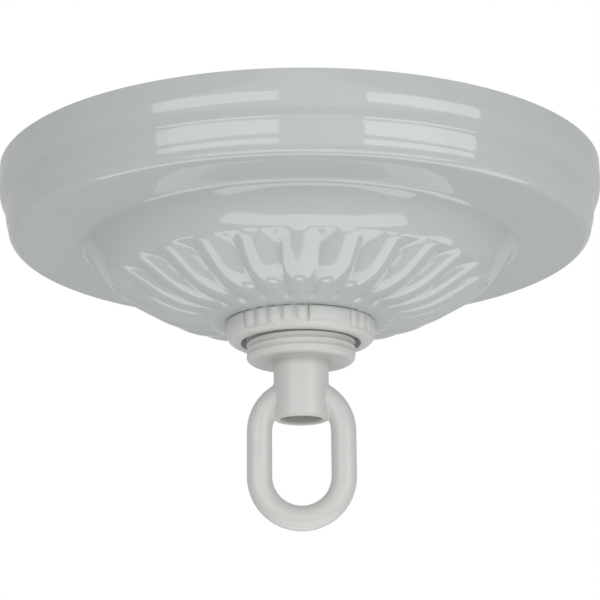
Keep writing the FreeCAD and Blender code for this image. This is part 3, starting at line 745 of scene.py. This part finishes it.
class CEILING_OT_casting(bpy.types.Operator):
    """Makes the threaded collar with its neck and loop"""
    bl_idname = "ceiling.casting"
    bl_label = "Collar, neck and loop"

    def execute(self, context):
        s = context.scene.casting_sizes
        material = finish(casting_paint)
        parts = [self.collar(s, material), self.neck_and_loop(s)]
        piece = joined("threaded_collar_and_loop", parts)
        shaded(piece, 60)
        settle(piece, "mounting", "casting_paint", material, "screw_collar_loop")
        return {"FINISHED"}

    def collar(self, s, material):
        """Collar with its thread, tapped socket and dished lower face."""
        top, foot = COLLAR_TOP, COLLAR_FOOT
        section = [(SOCKET, top), (s.collar - COLLAR_LEAD, top), (s.collar, top - COLLAR_LEAD)]
        section += straight(section[-1], (s.collar, foot + COLLAR_ROUND), 120)
        section += bulging(section[-1], (s.collar - COLLAR_ROUND, foot), COLLAR_ROUND, 8)
        section += straight(section[-1], (DISH[0][0], foot + DISH[0][1]), 4)
        section += [(DISH[1][0], foot + DISH[1][1]), (s.wireway, foot + DISH_TOP)]
        section += [(s.wireway, SOCKET_END), (SOCKET, SOCKET_END)]
        piece = turned("threaded_collar", section, COLLAR_STEPS, closed=True)
        thread_rule(material).apply(piece, {
            "Outside": s.collar, "Pitch": s.pitch, "Depth": s.thread,
            "From": THREAD_END, "To": top - COLLAR_LEAD, "Fade": THREAD_FADE})
        return outward(piece)

    def neck_and_loop(self, s):
        """Neck and loop melted into one form, with the bore for the wires."""
        mouth, flared = NECK_MOUTH, s.neck + NECK_FLARE
        section = [(0.0, NECK_TOP), (flared, NECK_TOP), (flared, FLARE_END)]
        section += bulging(section[-1], (s.neck, NECK_START), -FLARE_ROUND, 4)
        section += straight(section[-1], (s.neck, mouth + MOUTH_EDGE_HEIGHT), 10)
        section += bulging(section[-1], (s.neck - MOUTH_EDGE, mouth), MOUTH_EDGE_HEIGHT, 4)
        section += [(0.0, mouth)]
        neck = outward(turned("neck", section, NECK_STEPS))
        cut(neck, outward(self.loop(s)), "UNION")
        wide = s.wireway + BORE_BEVEL
        section = [(0.0, BORE_TOP), (s.wireway, BORE_TOP), (s.wireway, mouth + BORE_BEVEL_HEIGHT)]
        section += [(wide, mouth - BEVEL_END), (wide, mouth - BEYOND), (0.0, mouth - BEYOND)]
        cut(neck, outward(turned("bore", section, NECK_STEPS)))
        melt = neck.modifiers.new("melt", "REMESH")
        melt.mode = "VOXEL"
        melt.voxel_size = VOXEL
        smooth = neck.modifiers.new("smooth", "CORRECTIVE_SMOOTH")
        smooth.factor = SMOOTHING
        smooth.iterations = SMOOTHINGS
        smooth.use_only_smooth = True
        keep_mesh(neck)
        return neck

    def loop(self, s):
        """Round bar bent to a long ring in the plane of the crossbar."""
        points, faces = [], []
        for sign, middle in ((1, -s.upper), (-1, -s.lower)):
            for step in range(BEND_STEPS + 1):
                turn = math.pi * step / BEND_STEPS
                across = sign * s.bend * math.cos(turn)
                up = middle + sign * s.bend * math.sin(turn)
                away = Vector((across, 0.0, up - middle)).normalized()
                for side in range(WIRE_STEPS):
                    round_bar = TURN * side / WIRE_STEPS
                    points.append(Vector((across, 0.0, up)) + s.wire * (
                        away * math.cos(round_bar) + Vector((0, 1, 0)) * math.sin(round_bar)))
        for first in range(0, len(points), WIRE_STEPS):
            second = (first + WIRE_STEPS) % len(points)
            for side in range(WIRE_STEPS):
                following = (side + 1) % WIRE_STEPS
                faces.append([first + side, first + following, second + following, second + side])
        mesh = bpy.data.meshes.new("loop")
        mesh.from_pydata(points, [], faces)
        return new_piece("loop", mesh)


CAD_TOUCHING = 1e-6  # as TOUCHING, for a mesh of the frame
FLAT = math.radians(2)  # faces that meet at less than this become one face
EDGE = math.radians(40)  # edges steeper than this are rounded


def edged_copy(name, node, width):
    """A copy of a node's solid with its edges rounded as on a pressed or turned part."""
    piece = new_piece(name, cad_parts[node].data.copy())
    work = bmesh.new()
    work.from_mesh(piece.data)
    bmesh.ops.remove_doubles(work, verts=work.verts, dist=CAD_TOUCHING)
    bmesh.ops.dissolve_limit(work, angle_limit=FLAT, verts=work.verts, edges=work.edges)
    for face in work.faces:
        face.smooth = True
    work.to_mesh(piece.data)
    work.free()
    bevel = piece.modifiers.new("edges", "BEVEL")
    bevel.width = width
    bevel.segments = 3
    bevel.limit_method = "ANGLE"
    bevel.angle_limit = EDGE
    bevel.use_clamp_overlap = True
    bevel.harden_normals = True
    keep_mesh(piece)
    return piece


NIPPLE_END, NIPPLE_BORE_EDGE = 0.7 * MM, 0.3 * MM  # bevels at its ends: outside, and at the bore
NIPPLE_THREAD, NIPPLE_FADE = 0.5 * MM, 0.5 * MM  # depth of its thread, and how fast it runs out


class CEILING_OT_nipple(bpy.types.Operator):
    """Makes the hollow nipple with its thread"""
    bl_idname = "ceiling.nipple"
    bl_label = "Nipple"

    def execute(self, context):
        s = context.scene.steel_sizes
        material = finish(zinc_plate)
        low, high = NIPPLE_LOW.z, NIPPLE_HIGH.z
        edge, mouth = s.nipple - NIPPLE_END, s.nipple_bore + NIPPLE_BORE_EDGE
        section = [(s.nipple_bore, high - NIPPLE_BORE_EDGE), (mouth, high), (edge, high)]
        section += [(s.nipple, high - NIPPLE_END)]
        section += straight(section[-1], (s.nipple, low + NIPPLE_END), 380)
        section += [(edge, low), (mouth, low), (s.nipple_bore, low + NIPPLE_BORE_EDGE)]
        piece = turned("threaded_nipple", section, 96, closed=True)
        thread_rule(material).apply(piece, {
            "Outside": s.nipple, "Pitch": s.nipple_pitch, "Depth": NIPPLE_THREAD,
            "From": low + NIPPLE_BORE_EDGE, "To": high - NIPPLE_BORE_EDGE, "Fade": NIPPLE_FADE})
        shaded(outward(piece), 60)
        settle(piece, "mounting", "zinc_plate", material, "nipple")
        return {"FINISHED"}


BAR_EDGE, WASHER_EDGE = 1.4, 0.5  # rounding of the bar's and the washers' edges, in nuts' edges


class CEILING_OT_plates(bpy.types.Operator):
    """Makes the crossbar, the locknuts and the toothed washers"""
    bl_idname = "ceiling.plates"
    bl_label = "Crossbar, nuts and washers"

    def execute(self, context):
        edge = context.scene.steel_sizes.edge
        material = finish(zinc_plate)
        for name, node, width in (
                ("pressed_crossbar", "crossbar", edge * BAR_EDGE),
                ("nut_over_bar", "upper_locknut", edge),
                ("nut_under_bar", "lower_locknut", edge),
                ("nut_on_collar", "collar_locknut", edge),
                ("washer_on_bar", "upper_lock_washer", edge * WASHER_EDGE),
                ("washer_on_collar", "collar_lock_washer", edge * WASHER_EDGE)):
            piece = edged_copy(name, node, width)
            settle(piece, "mounting", "zinc_plate", material, node)
        return {"FINISHED"}


BAR_UNDERSIDE = -2.0 * MM  # lower face of the crossbar, on which the heads lie
SLOT_WIDTH, SLOT_DEPTH = 1.2 * MM, 1.2 * MM
SLOT_TOOL, SLOT_OVER = 16.0 * MM, 1.0 * MM  # length of a slot's tool, how far it stands out
SHANK_TIP = 1.1 * MM  # bevel at the tip
SHANK_STEP = 0.07 * MM  # distance between two points along the thread
SHANK_ROOT = 0.5 * MM  # how far a shank goes on inside its head
SCREW_THREAD, SCREW_FADE = 0.42 * MM, 0.5 * MM  # depth of the thread, and how fast it runs out
SCREW_OVER = 0.2 * MM  # how far over the tip the thread would go on
SCREW_STEPS, HEAD_STEPS = 48, 96
HEAD_FLAT, HEAD = 2.0 * MM, 4.0 * MM  # radii of a pan head: of its flat end, and in all
HEAD_ARC, HEAD_SIDE = 4.0 * MM, 0.96 * MM  # radius of its curved side, height of its upright one
HEAD_ROUND = 0.25 * MM
BODY = 1.8 * MM  # radius of the plain body inside the bar's slot
ACROSS_FLATS = 7.9 * MM  # hexagon of the ground screw
HEXAGON_EDGE = (0.35 * MM, 0.3 * MM)  # bevel at its lower corners: how wide, how high
HEXAGON_TOP = -2.6 * MM  # inside the flange
FLANGE, FLANGE_FOOT = 5.2 * MM, -3.0 * MM  # radius and lower face of the ground screw's flange
FLANGE_EDGE, FLANGE_ROUND = 0.3 * MM, 0.12 * MM  # its lower bevel, and the rounds on it
GROUND_RADIUS, GROUND_BODY = 2.4 * MM, 2.0 * MM  # its thread, and its body under the thread
GROUND_FOOT = 0.3 * MM  # where its thread starts over the bar's lower face


class CEILING_OT_screws(bpy.types.Operator):
    """Makes the two box screws and the ground screw"""
    bl_idname = "ceiling.screws"
    bl_label = "Screws"

    def execute(self, context):
        s = context.scene.steel_sizes
        self.box_screws(s)
        self.ground_screw(s)
        return {"FINISHED"}

    def shank(self, radius, top, foot, pitch, material, core):
        """A shank, threaded from its foot to its bevelled tip, plain under it, closed in its head."""
        root = BAR_UNDERSIDE - SHANK_ROOT
        section = [(0.0, top), (radius - SHANK_TIP, top), (radius, top - SHANK_TIP)]
        section += straight(section[-1], (radius, foot), int((top - foot) / SHANK_STEP))
        section += [(core, foot), (core, root), (0.0, root)]
        piece = turned("shank", section, SCREW_STEPS)
        thread_rule(material).apply(piece, {
            "Outside": radius, "Pitch": pitch, "Depth": SCREW_THREAD,
            "From": foot, "To": top + SCREW_OVER, "Fade": SCREW_FADE})
        return outward(piece)

    def slotted(self, head, low):
        """Cuts a straight slot across the lower end of a head."""
        place = Matrix.Translation((0, 0, low + (SLOT_DEPTH - SLOT_OVER) / 2))
        size = Matrix.Diagonal((SLOT_TOOL, SLOT_WIDTH, SLOT_DEPTH + SLOT_OVER, 1.0))
        work = bmesh.new()
        bmesh.ops.create_cube(work, size=1.0, matrix=place @ size)
        mesh = bpy.data.meshes.new("slot")
        work.to_mesh(mesh)
        work.free()
        return cut(head, new_piece("slot", mesh))

    def box_screws(self, s):
        """One screw, then a tree that sets it at both ears of the box."""
        material = finish(zinc_plate)
        low = SCREW_LOW.z
        section = [(0.0, low), (HEAD_FLAT, low)]
        section += bulging(section[-1], (HEAD, BAR_UNDERSIDE - HEAD_SIDE), -HEAD_ARC, 7)
        section += [(HEAD, BAR_UNDERSIDE), (0.0, BAR_UNDERSIDE)]
        head = outward(turned("head", softened(section, HEAD_ROUND), HEAD_STEPS))
        shank = self.shank(s.screw, SCREW_HIGH.z, 0.0, s.screw_pitch, material, BODY)
        screw = joined("box_screws", [self.slotted(head, low), shank])
        row = Tree("screws in a row", ("Spacing",))
        nodes, link = row.tree.nodes, row.tree.links.new
        line = nodes.new("GeometryNodeMeshLine")
        line.mode = "END_POINTS"  # its offset is then the other end
        line.inputs["Count"].default_value = 2
        for end, share_of_spacing in (("Start Location", 0.5), ("Offset", -0.5)):
            place = nodes.new("ShaderNodeCombineXYZ")
            link((row.input("Spacing") * share_of_spacing).socket, place.inputs[0])
            link(place.outputs[0], line.inputs[end])
        copies = nodes.new("GeometryNodeInstanceOnPoints")
        link(line.outputs[0], copies.inputs["Points"])
        link(row.start.outputs["Geometry"], copies.inputs["Instance"])
        row.close(copies.outputs[0], material)
        row.apply(screw, {"Spacing": SCREW_LOW.x + SCREW_HIGH.x})
        shaded(screw, 40)
        settle(screw, "mounting", "zinc_plate", material, "box_screw_left", "box_screw_right")

    def ground_screw(self, s):
        """Hexagonal head on a flange, with its slot and its threaded shank."""
        material = finish(green_lacquer)
        low = GROUND_LOW.z
        corner = ACROSS_FLATS / 2 / math.cos(TURN / 12)
        wide, high = HEXAGON_EDGE
        section = [(0.0, low), (corner - wide, low), (corner, low + high), (corner, HEXAGON_TOP),
                   (0.0, HEXAGON_TOP)]
        head = outward(turned("hexagon", section, 6))
        section = [(0.0, FLANGE_FOOT), (FLANGE - FLANGE_EDGE, FLANGE_FOOT),
                   (FLANGE, FLANGE_FOOT + FLANGE_EDGE), (FLANGE, BAR_UNDERSIDE), (0.0, BAR_UNDERSIDE)]
        cut(head, outward(turned("flange", softened(section, FLANGE_ROUND), HEAD_STEPS)), "UNION")
        shank = self.shank(GROUND_RADIUS, GROUND_HIGH.z, BAR_UNDERSIDE + GROUND_FOOT, s.screw_pitch,
                           material, GROUND_BODY)
        piece = joined("green_ground_screw", [self.slotted(head, low), shank])
        piece.data.transform(Matrix.Translation(((GROUND_LOW.x + GROUND_HIGH.x) / 2, 0, 0)))
        shaded(piece, 30)
        settle(piece, "mounting", "green_paint", material, "ground_screw")


FLOOR_REACH = 12.0  # how far the floor reaches to each side, in metres
CAMERA_PLACE = (0.0, -401.882 * MM, -138.460 * MM)
CAMERA_TILT, CAMERA_TURN, CAMERA_ROLL = 15.415, 0.017, -0.4456  # in degrees, up from level
SENSOR = 36.0  # width of the camera's sensor, in millimetres
SIGHT = (0.01, 20.0)  # nearest and farthest that the camera sees, in metres


class CEILING_OT_stage(bpy.types.Operator):
    """Makes the floor, the lights, the even surroundings and the camera"""
    bl_idname = "ceiling.stage"
    bl_label = "Stage"

    def execute(self, context):
        s = context.scene.stage_settings
        scene = context.scene
        scene.view_settings.view_transform = "Standard"
        self.floor(s)
        self.world(s)
        for light in LIGHTS:
            self.light(*light)
        self.camera(s)
        return {"FINISHED"}

    def floor(self, s):
        """A plain pale floor far below."""
        mesh = bpy.data.meshes.new("floor")
        corners = [(x * FLOOR_REACH, y * FLOOR_REACH, -s.floor_depth)
                   for x, y in ((-1, -1), (1, -1), (1, 1), (-1, 1))]
        mesh.from_pydata(corners, [], [(0, 1, 2, 3)])
        floor = new_piece("floor", mesh)
        made = Finish("floor_paint", tuple(s.floor_colour), roughness=0.8)
        made.tint(made.noise(patches=3.0), darker=0.99, lighter=1.01)
        made.wear(made.noise(patches=9.0), spread=0.1)
        mesh.materials.append(made.material)

    def world(self, s):
        """White to the camera and an even pale light on the object."""
        world = bpy.data.worlds.new("surroundings")
        world.use_nodes = True
        bpy.context.scene.world = world
        tree = world.node_tree
        back = tree.nodes["Background"]
        back.inputs["Color"].default_value = (1.0, 1.0, 1.0, 1.0)
        rays = tree.nodes.new("ShaderNodeLightPath")
        seen = Number(tree, rays.outputs["Is Camera Ray"])
        strength = seen * (1.0 - s.ambient) + s.ambient
        tree.links.new(strength.socket, back.inputs["Strength"])

    def light(self, name, shape, place, tilt, turn, width, height, brightness):
        """A softbox that faces the object and looks this bright in a mirror."""
        data = bpy.data.lights.new(name, "AREA")
        data.shape = shape
        data.size, data.size_y = width, height
        area = width * height * (math.pi / 4 if shape == "ELLIPSE" else 1.0)
        data.energy = brightness * math.pi * area
        light = new_piece(name, data)
        light.location = place
        light.rotation_euler = (math.radians(tilt), 0.0, math.radians(turn))

    def camera(self, s):
        """A camera below the ceiling that looks up at the dome."""
        data = bpy.data.cameras.new("camera")
        data.lens = s.lens
        data.sensor_width = SENSOR
        data.clip_start, data.clip_end = SIGHT
        camera = new_piece("camera", data)
        camera.location = CAMERA_PLACE
        level = 90.0  # an unturned camera looks down, and one tilted by this many degrees ahead
        turn = Matrix.Rotation(math.radians(CAMERA_TURN), 3, "Z")
        tilt = Matrix.Rotation(math.radians(level + CAMERA_TILT), 3, "X")
        roll = Matrix.Rotation(math.radians(CAMERA_ROLL), 3, "Z")
        camera.rotation_euler = (turn @ tilt @ roll).to_euler()
        bpy.context.scene.camera = camera


# The softboxes: name, shape, place in metres, tilt and turn in degrees, width and height in
# metres, and how bright each looks in a mirror.
LIGHTS = (
    ("softbox_left", "RECTANGLE", (-0.406, -0.735, 0.028), 86.5, -30.5, 0.68, 0.33, 1.9),
    ("softbox_right", "RECTANGLE", (0.570, -0.600, 0.028), 86.5, 46.0, 0.64, 0.33, 2.35),
    ("softbox_below_front", "ELLIPSE", (0.07, -0.190, -0.493), 161.0, 6.5, 0.84, 0.23, 2.0),
    ("softbox_below_back", "ELLIPSE", (0.09, 0.192, -0.463), 207.0, 0.0, 0.92, 0.25, 1.75),
    ("fill_front", "RECTANGLE", (0.15, -1.5, -0.05), 90.0, 0.0, 3.6, 1.3, 0.62),
)


class CEILING_PT_panel(bpy.types.Panel):
    """Lists the sizes and the steps that make the ceiling rose"""
    bl_idname = "CEILING_PT_panel"
    bl_label = "Ceiling rose"
    bl_space_type = "VIEW_3D"
    bl_region_type = "UI"
    bl_category = "Ceiling rose"

    def draw(self, context):
        for name, group in GROUPS:
            box = self.layout.box()
            for key in group.__annotations__:
                box.prop(getattr(context.scene, name), key)
        for operator in OPERATORS:
            self.layout.operator(operator.bl_idname)


OPERATORS = (CEILING_OT_canopy, CEILING_OT_ring, CEILING_OT_casting, CEILING_OT_nipple,
             CEILING_OT_plates, CEILING_OT_screws, CEILING_OT_stage)
CLASSES = tuple(group for _, group in GROUPS) + OPERATORS + (CEILING_PT_panel,)


def register():
    for item in CLASSES:
        bpy.utils.register_class(item)
    for name, group in GROUPS:
        setattr(bpy.types.Scene, name, bpy.props.PointerProperty(type=group))


def unregister():
    for name, _ in GROUPS:
        delattr(bpy.types.Scene, name)
    for item in reversed(CLASSES):
        bpy.utils.unregister_class(item)


def main():
    register()
    bpy.ops.ceiling.canopy()
    bpy.ops.ceiling.ring()
    bpy.ops.ceiling.casting()
    bpy.ops.ceiling.nipple()
    bpy.ops.ceiling.plates()
    bpy.ops.ceiling.screws()
    bpy.ops.ceiling.stage()


if __name__ == "__main__":
    main()
